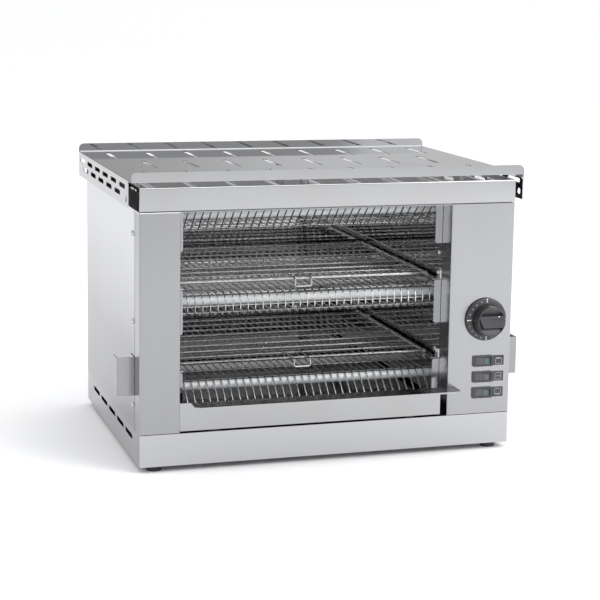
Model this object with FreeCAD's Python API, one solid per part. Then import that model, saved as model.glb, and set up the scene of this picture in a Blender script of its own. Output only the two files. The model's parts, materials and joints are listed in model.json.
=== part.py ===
import FreeCAD, Part
import math
import os

V = FreeCAD.Vector

# Driving sizes, in millimetres. X runs to the right, Y to the back, Z up.
# The origin is on the table, under the middle of the whole appliance.

# Casing
body_width = 500.0
body_depth = 365.0
foot_height = 8.0
plinth_height = 41.0
pillar_height = 281.2
seam_gap = 1.5
plinth_seam = 0.8
upstand_setback = 5.0
band_height = 29.0
sheet = 1.0
bend_radius = 1.6
left_pillar_width = 52.0
right_pillar_width = 88.0
pillar_return = 28.0
inner_return = 30.0
side_seam = 1.6
post_thickness = 1.2
post_depth = 52.0
running_gap = 0.3

# Toasting chamber
chamber_depth = 335.0
tab_width = 10.0
tab_setback = 31.0
tab_radius = 3.0
tab_gap_height = 49.1
lowest_tab_height = 51.2
bottom_tab_foot = 19.3

# Heaters
heater_rows = 3
heater_row_pitch = 100.0
first_row_setback = 70.0
lowest_heater_height = 42.8
heater_level_pitch = 112.3
quartz_diameter = 11.0
quartz_wall = 1.0
coil_diameter = 7.0
terminal_diameter = 3.0
terminal_reach = 6.0
cap_diameter = 16.0
cap_length = 26.0
cap_socket = 20.0
link_width = 8.0
link_thickness = 1.5

# Wire guards over and under the heaters
guard_wire = 1.8
guard_pitch = 10.0
guard_wires = 35
guard_cross_wires = 6
guard_clearance = 1.1
guard_drop = 15.0
middle_guard_rise = 10.8
middle_guard_height = 28.2
guard_nose_setback = 46.0
slope_run = 38.0
slope_drop = 36.3
top_slope_run = 34.0

# Sliding wire racks
rack_level = 74.6
rack_pitch = 106.5
rack_setback = 64.0
rack_depth = 258.0
rack_rod = 5.0
rack_wire = 3.0
rack_wires = 7
rack_side_gap = 10.0
loop_wire = 2.2
loop_width = 22.0
loop_offset = 6.0
loop_reach = 18.0
loop_drop = 8.0
loop_rise = 2.0
loop_bend = 3.0
guide_width = 11.0
guide_flange = 12.0

# Crumb tray
runner_height = 1.7
runner_width = 12.0
runner_inset = 48.0
pan_wall = 10.0
pan_depth = 320.0
pan_side_gap = 1.5
tray_front_setback = 4.0
tray_front_height = 36.0
tray_front_play = 8.0
lip_reach = 23.0
lip_inset = 14.0
lip_overhang = 12.0
lip_corner = 9.0
hem_height = 2.2

# Slotted top tray and the deck under it
deck_edge = 6.0
deck_notch = 6.0
tray_gap = 6.8
tray_overhang = 11.0
tray_front_overlap = 0.5
tray_rear_overlap = 1.0
flange_height = 12.4
flange_corner = 7.0
rail_drop = 33.8
left_rail_setback = 18.0
slot_pitch = 56.5
slot_width = 6.0
tray_slot_length = 82.0
rail_slot_length = 38.0
first_slot_row = 67.5
slot_row_pitch = 116.5
rail_upper_row = 10.1
rail_lower_row = 21.1
spacer_diameter = 12.0
support_width = 14.0

# Timer knob and rocker switches
knob_diameter = 57.0
knob_skirt = 4.5
boss_diameter = 42.0
boss_height = 17.5
boss_rim = 1.4
grip_width = 7.0
scoop_depth = 4.5
knob_gap = 0.6
knob_from_right = 37.0
knob_level = 127.8
shaft_diameter = 6.0
shaft_clearance = 0.05
shaft_hole_diameter = 10.0
timer_side = 40.0
timer_depth = 28.0
switch_from_right = 38.8
top_switch_level = 71.5
switch_pitch = 21.4
bezel_width = 28.5
bezel_height = 14.5
bezel_thickness = 2.5
window_width = 22.0
window_height = 10.0
switch_body_depth = 24.0
bezel_overlap = 1.5
rocker_length = 19.4
rocker_rest_tilt = -8.0
rocker_depth = 6.0
rocker_proud = 3.4
rocker_pivot_depth = 3.0
lens_width = 4.0
lens_depth = 1.5
legend_width = 15.5
legend_thickness = 1.2

# Side grips, feet, gland and fasteners
grip_reach = 23.0
grip_level = 45.0
grip_tall = 49.7
grip_length = 22.0
foot_diameter = 20.0
foot_side_inset = 21.5
foot_end_inset = 16.0
foot_screw_diameter = 4.0
plinth_slot_length = 44.0
first_plinth_slot = 67.0
plinth_slots = 5
plinth_slot_drop = 13.0
gland_reach = 19.0
gland_diameter = 20.0
gland_bore = 9.0
gland_from_right = 50.0
gland_level = 25.0
screw_head_diameter = 7.0
screw_head_height = 2.2
screw_diameter = 3.4
side_screw_setback = 40.0
vent_slots = 9
vent_slot_length = 34.0

# Places worked out from the sizes above
half = body_width / 2
front = -(lip_reach + body_depth + gland_reach) / 2 + lip_reach
back = front + body_depth
floor = foot_height + plinth_height
pillar_top = floor + pillar_height
band_bottom = pillar_top + seam_gap
deck_top = band_bottom + band_height
left_wall = -half + left_pillar_width
right_wall = half - right_pillar_width
chamber_middle = (left_wall + right_wall) / 2
chamber_back = front + chamber_depth
roof_top = pillar_top
roof_bottom = roof_top - sheet
ceiling_bottom = roof_bottom - sheet
lowest_heater = floor + lowest_heater_height
quartz_radius = quartz_diameter / 2
low_rack = floor + rack_level
rack_half = (right_wall - left_wall) / 2 - rack_side_gap
tray_bottom = deck_top + tray_gap
knob_x = half - knob_from_right
knob_z = floor + knob_level
switch_x = half - switch_from_right
rear_rod = rack_setback + rack_depth


def block(x, y, z):
    """A box between two X, two Y and two Z places."""
    return Part.makeBox(x[1] - x[0], y[1] - y[0], z[1] - z[0], V(x[0], y[0], z[0]))


def rod(start, end, radius):
    """A round bar from one point to another."""
    along = end - start
    return Part.makeCylinder(radius, along.Length, start, along)


def join(shapes):
    """One solid out of shapes that meet."""
    return shapes[0].multiFuse(shapes[1:]).removeSplitter()


def round_slot(middle, along, through, length, width, depth):
    """A cutter with round ends, centred on a point and reaching both ways through a sheet."""
    across = along.cross(through)
    reach = (length - width) / 2
    ends = [middle + along * side * reach - through * depth / 2 for side in (-1, 1)]
    corners = [
        ends[0] - across * width / 2,
        ends[1] - across * width / 2,
        ends[1] + across * width / 2,
        ends[0] + across * width / 2,
    ]
    outline = Part.makePolygon(corners + corners[:1])
    bar = Part.Face(outline).extrude(through * depth)
    return join([bar] + [Part.makeCylinder(width / 2, depth, end, through) for end in ends])


def soften(shape, radius, along, places):
    """Rounds the straight edges that run along an axis through the given places."""
    chosen = []
    for edge in shape.Edges:
        if edge.Curve.TypeId != "Part::GeomLine":
            continue
        if abs(edge.Curve.Direction.dot(along)) < 0.999:
            continue
        middle = edge.CenterOfMass
        for place in places:
            away = middle - place
            if (away - along * away.dot(along)).Length < 0.01:
                chosen.append(edge)
    return shape.makeFillet(radius, chosen) if chosen else shape


def save(name, shape):
    """Writes one piece, or one group of like pieces, under its own name."""
    solids = shape.Solids
    whole = solids[0] if len(solids) == 1 else Part.makeCompound(solids)
    valid = all(solid.isValid() for solid in solids)
    print(name, "solids", len(solids), "valid", valid, "volume", round(whole.Volume, 1))
    whole.exportStep("parts/" + name + ".step")


# Plinth, its bottom cover and the feet

def plinth():
    """A folded sheet box, open below, with a row of slots in each side."""
    outer = block((-half, half), (front, back), (foot_height, floor))
    corners = [V(x, y, floor) for x in (-half, half) for y in (front, back)]
    outer = soften(outer, bend_radius, V(0, 0, 1), corners)
    inside = block((-half + sheet, half - sheet), (front + sheet, back - sheet),
                   (foot_height - sheet, floor - sheet))
    cutters = [inside]
    for side in (-1, 1):
        for number in range(plinth_slots):
            middle = V(side * half, front + first_plinth_slot + number * slot_pitch,
                       floor - plinth_slot_drop)
            cutters.append(round_slot(middle, V(0, 1, 0), V(1, 0, 0), plinth_slot_length,
                                      slot_width, 4 * sheet))
    return outer.cut(cutters)


def foot_places():
    inset_x = half - foot_side_inset
    rows = (front + foot_end_inset, back - foot_end_inset)
    return [V(x, y, 0) for x in (-inset_x, inset_x) for y in rows]


def bottom_cover():
    """A flat sheet inside the plinth's foot, with vents between the feet."""
    cover = block((-half + sheet, half - sheet), (front + sheet, back - sheet),
                  (foot_height, foot_height + sheet))
    cutters = []
    for number in range(vent_slots):
        x = (number - (vent_slots - 1) / 2) * vent_slot_length
        cutters.append(round_slot(V(x, (front + back) / 2, foot_height), V(0, 1, 0), V(0, 0, 1),
                                  3 * vent_slot_length, slot_width, 4 * sheet))
    for place in foot_places():
        cutters.append(rod(place, place + V(0, 0, floor), foot_screw_diameter / 2))
    return cover.cut(cutters)


def feet():
    """Round rubber feet, a little narrower at the table, hollowed for their screws."""
    made = []
    for place in foot_places():
        foot = Part.makeCone(foot_diameter / 2 - 1, foot_diameter / 2, foot_height, place)
        screw_seat = rod(place - V(0, 0, 1), place + V(0, 0, foot_height / 2),
                         screw_head_diameter / 2)
        shank = rod(place, place + V(0, 0, foot_height), foot_screw_diameter / 2)
        made.append(foot.cut([screw_seat, shank]))
    return Part.makeCompound(made)


def foot_screws():
    made = []
    for place in foot_places():
        seat = place + V(0, 0, foot_height / 2)
        head = rod(seat - V(0, 0, screw_head_height), seat, screw_head_diameter / 2)
        shank = rod(seat, place + V(0, 0, foot_height + 3 * sheet), foot_screw_diameter / 2)
        made.append(join([head, shank]))
    return Part.makeCompound(made)


# Front pillars, side posts, side panels and back panel

def pillar(outer_x, inner_x, side):
    """A front face with one flange along the casing's side and one along the chamber."""
    low, high = sorted((outer_x, inner_x))
    tall = (floor, pillar_top)
    face = block((low, high), (front, front + sheet), (floor + plinth_seam, pillar_top))
    outer = block(sorted((outer_x, outer_x - side * sheet)), (front, front + pillar_return), tall)
    inner = block(sorted((inner_x, inner_x + side * sheet)), (front, front + inner_return),
                  (floor, roof_bottom))
    shape = join([face, outer, inner])
    return soften(shape, bend_radius, V(0, 0, 1), [V(outer_x, front, 0), V(inner_x, front, 0)])


def switch_places():
    return [V(switch_x, front, floor + top_switch_level - number * switch_pitch)
            for number in range(3)]


def control_panel():
    """The right pillar, cut for the timer's shaft and three switches."""
    panel = pillar(half, right_wall, 1)
    hole = rod(V(knob_x, front - 1, knob_z), V(knob_x, front + 3 * sheet, knob_z),
               shaft_hole_diameter / 2)
    cutters = [hole]
    wide = bezel_width / 2 - bezel_overlap
    tall = bezel_height / 2 - bezel_overlap
    for place in switch_places():
        cutters.append(block((place.x - wide, place.x + wide), (front - 1, front + 3 * sheet),
                             (place.z - tall, place.z + tall)))
    return panel.cut(cutters)


def side_screw_places(side):
    levels = (0.11, 0.495, 0.89)
    return [V(side * half, front + side_screw_setback, floor + level * pillar_height)
            for level in levels]


def screw_holes(side):
    return [rod(place + V(2 * side, 0, 0), place - V(8 * side, 0, 0), screw_diameter / 2)
            for place in side_screw_places(side)]


def frame_post(side):
    """A strip behind the seam, which the pillar and the side panel both close on."""
    inner = side * (half - sheet - post_thickness)
    strip = block(sorted((inner, side * (half - sheet))), (front + sheet, front + post_depth),
                  (floor, roof_bottom))
    return strip.cut(screw_holes(side))


def side_panel(side):
    """A plain sheet from the seam behind the pillar to the back."""
    panel = block(sorted((side * (half - sheet), side * half)),
                  (front + pillar_return + side_seam, back - sheet), (floor, pillar_top))
    return panel.cut(screw_holes(side))


def back_panel():
    """A plain sheet with two rows of vents and the hole of the cord's gland."""
    panel = block((-half, half), (back - sheet, back), (floor, pillar_top))
    cutters = []
    for row in (0.2, 0.85):
        for number in range(vent_slots):
            x = (number - (vent_slots - 1) / 2) * (vent_slot_length + 2 * slot_width)
            middle = V(x, back, floor + row * pillar_height)
            cutters.append(round_slot(middle, V(1, 0, 0), V(0, 1, 0), vent_slot_length,
                                      slot_width, 4 * sheet))
    gland = gland_place()
    cutters.append(rod(gland - V(0, 4 * sheet, 0), gland + V(0, sheet, 0), gland_diameter / 2 - 3))
    for place in back_screw_places():
        cutters.append(rod(place - V(0, 4 * sheet, 0), place + V(0, sheet, 0), screw_diameter / 2))
    return panel.cut(cutters)


def back_screw_places():
    inset = half - 12
    return [V(x, back, floor + level * pillar_height) for x in (-inset, 0, inset)
            for level in (0.05, 0.95)]


def side_screws():
    """Pan-head screws that hold the side panels to the posts."""
    made = []
    for side in (-1, 1):
        for place in side_screw_places(side):
            out = V(side, 0, 0)
            head = rod(place, place + out * screw_head_height, screw_head_diameter / 2)
            shank = rod(place - out * (sheet + post_thickness + 2), place, screw_diameter / 2)
            head = head.makeFillet(0.8, [e for e in head.Edges
                                         if abs(e.CenterOfMass.x - head.BoundBox.Center.x
                                                - side * screw_head_height / 2) < 0.01])
            made.append(join([head, shank]))
    return Part.makeCompound(made)


def back_screws():
    made = []
    for place in back_screw_places():
        head = rod(place, place + V(0, screw_head_height, 0), screw_head_diameter / 2)
        shank = rod(place - V(0, 2 * sheet, 0), place, screw_diameter / 2)
        made.append(join([head, shank]))
    return Part.makeCompound(made)


# Roof, deck with its front band, and the slotted tray on top

def roof():
    """The sheet that closes the casing, stiffened by a flange turned up behind the band."""
    flat = block((-half + sheet, half - sheet), (front + sheet, back - sheet),
                 (roof_bottom, roof_top))
    start = front + upstand_setback
    upstand = block((-half + sheet, half - sheet), (start, start + sheet),
                    (roof_bottom, band_bottom + band_height / 2))
    return join([flat, upstand])


def deck():
    """The front band and the flat deck behind it, with short turned-down edges."""
    band = block((-half, half), (front, front + sheet), (band_bottom, deck_top))
    flat = block((-half, half), (front, back), (deck_top - sheet, deck_top))
    rear = block((-half, half), (back - sheet, back), (roof_top, deck_top))
    shape = join([band, flat, rear])
    edges = [V(0, front, deck_top), V(0, back, deck_top)]
    shape = soften(shape, bend_radius, V(1, 0, 0), edges)
    sides = []
    for side in (-1, 1):
        across = sorted((side * half, side * (half - sheet)))
        low = deck_top - deck_edge
        sides.append(block(across, (front + bend_radius, front + pillar_return),
                           (low, deck_top - sheet)))
        sides.append(block(across, (front + pillar_return + deck_notch, back - bend_radius),
                           (low, deck_top - sheet)))
    shape = join([shape] + sides)
    cutters = []
    for number in range(vent_slots):
        x = (number - (vent_slots - 1) / 2) * (vent_slot_length + 2 * slot_width)
        middle = V(x, back, (roof_top + deck_top) / 2)
        cutters.append(round_slot(middle, V(1, 0, 0), V(0, 1, 0), vent_slot_length, slot_width,
                                  4 * sheet))
    return shape.cut(cutters)


def deck_supports():
    """Two channels on the roof that carry the deck."""
    made = []
    for side in (-1, 1):
        x = side * half / 2
        width = (x - support_width / 2, x + support_width / 2)
        along = (front + 4 * support_width, back - 2 * support_width)
        outer = block(width, along, (roof_top, deck_top - sheet))
        inner = block((width[0] + sheet, width[1] - sheet), along,
                      (roof_top + sheet, deck_top))
        made.append(outer.cut(inner))
    return Part.makeCompound(made)


def spacer_places():
    rows = (first_slot_row + slot_row_pitch / 2, first_slot_row + 1.5 * slot_row_pitch)
    return [V(x * slot_pitch, front + y, deck_top) for x in (-4, 0, 4) for y in rows]


def tray_spacers():
    """Round posts on the deck that carry the tray."""
    return Part.makeCompound([rod(place, V(place.x, place.y, tray_bottom), spacer_diameter / 2)
                              for place in spacer_places()])


def tray_slots():
    """Three rows of slots along the depth, the middle row half a pitch aside."""
    cutters = []
    for row in range(3):
        count = 8 if row == 1 else 9
        for number in range(count):
            x = (number - (count - 1) / 2) * slot_pitch
            middle = V(x, front + first_slot_row + row * slot_row_pitch, tray_bottom)
            cutters.append(round_slot(middle, V(0, 1, 0), V(0, 0, 1), tray_slot_length,
                                      slot_width, 4 * sheet))
    return cutters


def rail_slots(side, upper_first, lower_first, round_hole):
    """Two rows of slots along a side rail, and a round hole near its front."""
    x = side * (half + tray_overhang)
    top = tray_bottom + sheet
    cutters = []
    rows = ((upper_first, rail_upper_row, 6), (lower_first, rail_lower_row, 5))
    for first, drop, count in rows:
        for number in range(count):
            middle = V(x, front + first + number * slot_pitch, top - drop)
            cutters.append(round_slot(middle, V(0, 1, 0), V(1, 0, 0), rail_slot_length,
                                      slot_width, 4 * sheet))
    hole = V(x - 4, front + round_hole, top - rail_lower_row - slot_width / 2)
    cutters.append(rod(hole, hole + V(8, 0, 0), slot_width * 0.7))
    return cutters


def top_tray():
    """The slotted plate with flanges turned up front and rear and rails turned down."""
    wide = half + tray_overhang
    first = front - tray_front_overlap
    last = back + tray_rear_overlap
    top = tray_bottom + sheet
    plate = block((-wide, wide), (first, last), (tray_bottom, top))
    flanges = []
    for y in ((first, first + sheet), (last - sheet, last)):
        flange = block((-wide, wide), y, (tray_bottom, tray_bottom + flange_height))
        ends = [V(x, 0, tray_bottom + flange_height) for x in (-wide, wide)]
        flanges.append(soften(flange, flange_corner, V(0, 1, 0), ends))
    rails = [
        block((-wide, -wide + sheet), (front + left_rail_setback, last), (top - rail_drop, top)),
        block((wide - sheet, wide), (front, last), (top - rail_drop, top)),
    ]
    shape = join([plate] + flanges + rails)
    bends = [V(-wide, 0, top), V(wide, 0, top)]
    shape = soften(shape, sheet / 2, V(0, 1, 0), bends)
    half_pitch = slot_pitch / 2
    cutters = tray_slots()
    cutters += rail_slots(-1, 2 * half_pitch - 2.5, 3 * half_pitch, half_pitch)
    cutters += rail_slots(1, half_pitch, 2 * half_pitch, slot_width * 1.8)
    return shape.cut(cutters)


# Chamber walls

def heater_places():
    """The middle of every quartz tube, level by level from the bottom."""
    return [[V(chamber_middle, front + first_row_setback + row * heater_row_pitch,
               lowest_heater + level * heater_level_pitch) for row in range(heater_rows)]
            for level in range(3)]


def tab_levels():
    """The three upright tabs: between them are the gaps that the racks come through."""
    first_top = floor + lowest_tab_height + bottom_tab_foot
    second = first_top + tab_gap_height
    third = second + rack_pitch
    return ((floor + bottom_tab_foot, first_top), (second, third - tab_gap_height),
            (third, ceiling_bottom))


def liner(side):
    """A chamber wall of polished sheet, with tabs turned in along its front edge."""
    inner = right_wall if side > 0 else left_wall
    outer = inner + side * sheet
    start = front + tab_setback
    wall = block(sorted((inner, outer)), (start, chamber_back + sheet), (floor, ceiling_bottom))
    tabs = []
    for low, high in tab_levels():
        tip = inner - side * tab_width
        tab = block(sorted((tip, outer)), (start, start + sheet), (low, high))
        corners = [V(tip, 0, low)]
        if high < ceiling_bottom:
            corners.append(V(tip, 0, high))
        tabs.append(soften(tab, tab_radius, V(0, 1, 0), corners))
    shape = join([wall] + tabs)
    cutters = []
    for level in heater_places():
        for place in level:
            start = V(inner - side * 5, place.y, place.z)
            cutters.append(rod(start, start + V(side * 10, 0, 0), quartz_radius))
    for place in liner_screw_places(side):
        cutters.append(rod(place - V(side, 0, 0), place + V(5 * side, 0, 0), screw_diameter / 2))
    return shape.cut(cutters)


def liner_screw_places(side):
    inner = right_wall if side > 0 else left_wall
    places = ((44, low_rack + rack_pitch + 31), (48, low_rack + 6),
              (92, low_rack - 13), (81, low_rack + 88))
    return [V(inner, front + y, z) for y, z in places]


def liner_screws():
    made = []
    for side in (-1, 1):
        for place in liner_screw_places(side):
            out = V(side, 0, 0)
            head = rod(place, place - out * screw_head_height, screw_head_diameter / 2)
            shank = rod(place, place + out * 4 * sheet, screw_diameter / 2)
            made.append(join([head, shank]))
    return Part.makeCompound(made)


def chamber_rear():
    return block((left_wall, right_wall), (chamber_back, chamber_back + sheet),
                 (floor, ceiling_bottom))


def ceiling():
    """The reflector over the top heaters, which lies on the chamber's walls."""
    return block((left_wall - sheet, right_wall + sheet),
                 (front + tab_setback, chamber_back + sheet), (ceiling_bottom, roof_bottom))


# Heaters

def quartz_tubes(level):
    """Open quartz tubes that run from one side of the chamber to the other."""
    reach = (right_wall - left_wall) / 2 + sheet + cap_socket
    made = []
    for place in heater_places()[level]:
        start, end = place - V(reach, 0, 0), place + V(reach, 0, 0)
        outer = rod(start, end, quartz_radius)
        made.append(outer.cut(rod(start, end, quartz_radius - quartz_wall)))
    return Part.makeCompound(made)


def cap_start(place, side):
    wall = right_wall if side > 0 else left_wall
    return V(wall + side * sheet, place.y, place.z)


def end_caps():
    """Ceramic caps on the tube ends, seated on the outside of the chamber's walls."""
    made = []
    for level in heater_places():
        for place in level:
            for side in (-1, 1):
                start = cap_start(place, side)
                out = V(side, 0, 0)
                cap = rod(start, start + out * cap_length, cap_diameter / 2)
                socket = rod(start, start + out * cap_socket, quartz_radius)
                pin = rod(start, start + out * cap_length, terminal_diameter / 2)
                made.append(cap.cut([socket, pin]))
    return Part.makeCompound(made)


def heating_coils():
    """The wound element as a plain core, with a terminal pin through each cap."""
    made = []
    for level in heater_places():
        for place in level:
            ends = [cap_start(place, side) for side in (-1, 1)]
            core = rod(ends[0] - V(cap_socket, 0, 0), ends[1] + V(cap_socket, 0, 0),
                       coil_diameter / 2)
            reach = cap_length + terminal_reach
            pins = rod(ends[0] - V(reach, 0, 0), ends[1] + V(reach, 0, 0), terminal_diameter / 2)
            made.append(join([core, pins]))
    return Part.makeCompound(made)


def link_strips(side):
    """Upright strips that join the terminals of one row of heaters."""
    made = []
    levels = heater_places()
    for row in range(heater_rows):
        low, high = levels[0][row], levels[2][row]
        x = cap_start(low, side).x + side * (cap_length + terminal_reach)
        made.append(block(sorted((x, x + side * link_thickness)),
                          (low.y - link_width / 2, low.y + link_width / 2),
                          (low.z - link_width, high.z + link_width)))
    return Part.makeCompound(made)


# Wire guards

def wire_outline(points):
    """The side view of one bent wire: a band of the wire's thickness along the points."""
    offset = guard_wire / 2
    sides = {1: [], -1: []}
    for number, point in enumerate(points):
        ways = []
        if number:
            ways.append((point - points[number - 1]).normalize())
        if number < len(points) - 1:
            ways.append((points[number + 1] - point).normalize())
        mean = (ways[0] + ways[-1]).normalize()
        square = V(0, -mean.z, mean.y)
        stretch = offset / max(0.2, math.sqrt((1 + ways[0].dot(ways[-1])) / 2))
        for side in (1, -1):
            sides[side].append(point + square * side * stretch)
    loop = sides[1] + sides[-1][::-1]
    return Part.Face(Part.makePolygon(loop + loop[:1]))


def wire_guard(points, cross_points):
    """Bent wires side by side, joined by straight wires that end at the chamber's walls."""
    outline = wire_outline(points)
    span = (guard_wires - 1) * guard_pitch
    first = chamber_middle - span / 2
    wires = []
    for number in range(guard_wires):
        wire = outline.extrude(V(guard_wire, 0, 0))
        wire.translate(V(first + number * guard_pitch - guard_wire / 2, 0, 0))
        wires.append(wire)
    for point in cross_points:
        low, high = point - V(0, guard_wire, guard_wire) / 2, point + V(0, guard_wire, guard_wire) / 2
        wires.append(block((left_wall, right_wall), (low.y, high.y), (low.z, high.z)))
    return join(wires)


def along_guard(z, first_y, last_y, count):
    """Evenly spaced places for straight wires along a flat stretch of guard."""
    step = (last_y - first_y) / (count - 1)
    return [V(0, first_y + number * step, z) for number in range(count)]


def bottom_guard():
    """Lies over the bottom heaters and slopes down in front of them."""
    level = lowest_heater + quartz_radius + guard_clearance + guard_wire / 2
    bend = front + first_row_setback - 2
    last = chamber_back - 4
    points = [V(0, bend - slope_run, level - slope_drop), V(0, bend, level), V(0, last, level)]
    return wire_guard(points, along_guard(level, bend + 8, last - 4, guard_cross_wires))


def top_guard():
    """Hangs under the top heaters and slopes up to the ceiling in front of them."""
    level = lowest_heater + 2 * heater_level_pitch - quartz_radius - guard_drop - guard_wire / 2
    bend = front + first_row_setback + 6
    last = chamber_back - 4
    high = ceiling_bottom - guard_wire
    points = [V(0, bend - top_slope_run, high), V(0, bend, level), V(0, last, level)]
    return wire_guard(points, along_guard(level, bend + 8, last - 4, guard_cross_wires))


def middle_guard():
    """Wraps the middle heaters: over them, round their front and back under them."""
    radius = middle_guard_height / 2
    level = lowest_heater + heater_level_pitch + middle_guard_rise - radius
    nose = front + guard_nose_setback + radius
    last = chamber_back - 4
    points = [V(0, last, level + radius)]
    steps = 8
    for number in range(steps + 1):
        turn = math.pi * (0.5 + number / steps)
        points.append(V(0, nose + radius * math.cos(turn), level + radius * math.sin(turn)))
    points.append(V(0, last, level - radius))
    upper = along_guard(level + radius, nose + 8, last - 4, guard_cross_wires)
    lower = along_guard(level - radius, nose + 8, last - 4, guard_cross_wires)
    return wire_guard(points, upper + lower + [V(0, nose - radius, level)])


# Racks and their guides

def rack(level):
    """A welded grid with thick side rods, wires from side to side and a pull loop."""
    z = low_rack + level * rack_pitch
    first, last = front + rack_setback, front + rear_rod
    left, right = chamber_middle - rack_half, chamber_middle + rack_half
    rods = []
    for x in (left, right):
        rods.append(rod(V(x, first - rack_rod / 2, z), V(x, last + rack_rod / 2, z), rack_rod / 2))
    step = rack_depth / (rack_wires + 1)
    for number in range(rack_wires + 2):
        y = first + number * step
        thickness = rack_wire if 0 < number <= rack_wires else rack_rod - 0.4
        rods.append(rod(V(left, y, z), V(right, y, z), thickness / 2))
    return join(rods + [pull_loop(z, first, step)])


def bent_rod(points, bend, radius):
    """A round bar along straight runs, with each corner rounded to the bend's radius."""
    edges = []
    start = points[0]
    for before, corner, after in zip(points, points[1:], points[2:]):
        into, out = (corner - before).normalize(), (after - corner).normalize()
        entry, leave = corner - into * bend, corner + out * bend
        middle = corner + (out - into) * bend * (1 - math.sqrt(0.5))
        edges.append(Part.LineSegment(start, entry).toShape())
        edges.append(Part.Arc(entry, middle, leave).toShape())
        start = leave
    edges.append(Part.LineSegment(start, points[-1]).toShape())
    profile = Part.Wire(Part.makeCircle(radius, points[0], points[1] - points[0]))
    return Part.Wire(edges).makePipeShell([profile], True, False)


def pull_loop(z, first, step):
    """A hairpin laid over the first two wires, turned down in front of the rack."""
    nose = first - loop_reach
    rear = first + step + loop_wire
    top, low = z + loop_rise, z - loop_drop
    left, right = [chamber_middle - loop_offset + side * loop_width / 2 for side in (-1, 1)]
    points = [V(left, rear, top), V(left, nose, top), V(left, nose, low),
              V(right, nose, low), V(right, nose, top), V(right, rear, top)]
    return bent_rod(points, loop_bend, loop_wire / 2)


def rack_guides(side):
    """Two folded ledges on one chamber wall, one under each rack's side rod."""
    inner = right_wall if side > 0 else left_wall
    along = (front + tab_setback + 3 * sheet, chamber_back - sheet)
    made = []
    for level in (0, 1):
        top = low_rack + level * rack_pitch - rack_rod / 2 - running_gap
        ledge = block(sorted((inner, inner - side * guide_width)), along, (top - sheet, top))
        flange = block(sorted((inner, inner - side * sheet)), along,
                       (top - sheet, top - sheet + guide_flange))
        cutters = [rod(V(inner - 5, y, z), V(inner + 5, y, z), screw_head_diameter / 2 + 1)
                   for y, z in [(p.y, p.z) for p in liner_screw_places(side)]]
        made.append(join([ledge, flange]).cut(cutters))
    return Part.makeCompound(made)


# Crumb tray and its runners

def crumb_runners():
    """Two low strips on the plinth that the crumb tray slides on."""
    top = floor + runner_height - running_gap
    places = (left_wall + runner_inset, right_wall - runner_inset)
    along = (front + 12, chamber_back - 4)
    return Part.makeCompound([block((x - runner_width / 2, x + runner_width / 2), along,
                                    (floor, top)) for x in places])


def crumb_tray():
    """A shallow pan with an upright front and a rounded lip to pull it by."""
    low = floor + runner_height
    face = front + tray_front_setback
    left = left_wall + running_gap + 0.2
    right = right_wall - tray_front_play
    pan_left = left_wall + pan_side_gap
    outer = block((pan_left, right), (face, face + pan_depth), (low, low + pan_wall))
    inner = block((pan_left + sheet, right - sheet), (face + sheet, face + pan_depth - sheet),
                  (low + sheet, low + pan_wall + 1))
    plate_top = low + tray_front_height
    plate = block((left, right), (face, face + sheet), (low, plate_top))
    lip_left = left + lip_inset
    lip_right = right_wall + lip_overhang
    shelf = block((lip_left, right), (front - lip_reach, face + sheet),
                  (plate_top - sheet, plate_top))
    wing = block((lip_left, lip_right), (front - lip_reach, front - 2 * running_gap),
                 (plate_top - sheet, plate_top))
    lip = join([shelf, wing])
    corners = [V(lip_left, front - lip_reach, 0), V(lip_right, front - lip_reach, 0)]
    lip = soften(lip, lip_corner, V(0, 0, 1), corners)
    hem = block((lip_left + lip_corner, lip_right - lip_corner),
                (front - lip_reach, front - lip_reach + sheet),
                (plate_top - hem_height, plate_top - sheet))
    return join([outer.cut(inner), plate, lip, hem])


# Timer knob and switches

def knob():
    """A round skirt and a tapered boss, scooped out above and below its grip bar."""
    skirt_back = front - knob_gap
    skirt_front = skirt_back - knob_skirt
    boss_front = skirt_front - boss_height
    toward = V(0, -1, 0)
    skirt = Part.makeCone(knob_diameter / 2, knob_diameter / 2 - 1.2, knob_skirt,
                          V(knob_x, skirt_back, knob_z), toward)
    boss = Part.makeCone(boss_diameter / 2, boss_diameter / 2 - 1.5, boss_height,
                         V(knob_x, skirt_front, knob_z), toward)
    hole = rod(V(knob_x, skirt_back, knob_z), V(knob_x, boss_front + scoop_depth + 2, knob_z),
               shaft_diameter / 2)
    scoop_radius = boss_diameter / 2 - 1.5 - boss_rim
    within = rod(V(knob_x, boss_front - 1, knob_z),
                 V(knob_x, boss_front + scoop_depth + 1, knob_z), scoop_radius)
    scoops = []
    for side in (-1, 1):
        bar_edge = knob_z + side * grip_width / 2
        rim_edge = knob_z + side * scoop_radius
        x = knob_x - scoop_radius
        outline = [V(x, boss_front - 1, bar_edge), V(x, boss_front + scoop_depth, bar_edge),
                   V(x, boss_front, rim_edge), V(x, boss_front - 1, rim_edge)]
        wedge = Part.Face(Part.makePolygon(outline + outline[:1]))
        scoops.append(wedge.extrude(V(2 * scoop_radius, 0, 0)).common(within))
    return join([skirt, boss]).cut(scoops + [hole])


def timer_shaft():
    boss_front = front - knob_gap - knob_skirt - boss_height
    return rod(V(knob_x, boss_front + scoop_depth + 2, knob_z),
               V(knob_x, front + sheet + timer_depth * 0.7, knob_z), shaft_diameter / 2)


def timer_body():
    """The clockwork's housing, screwed behind the panel, with a bore for the shaft."""
    side = timer_side / 2
    box = block((knob_x - side, knob_x + side - 6), (front + sheet, front + sheet + timer_depth),
                (knob_z - side, knob_z + side))
    bore = rod(V(knob_x, front, knob_z),
               V(knob_x, front + sheet + timer_depth * 0.7 + running_gap, knob_z),
               shaft_diameter / 2 + shaft_clearance)
    return box.cut(bore)


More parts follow.
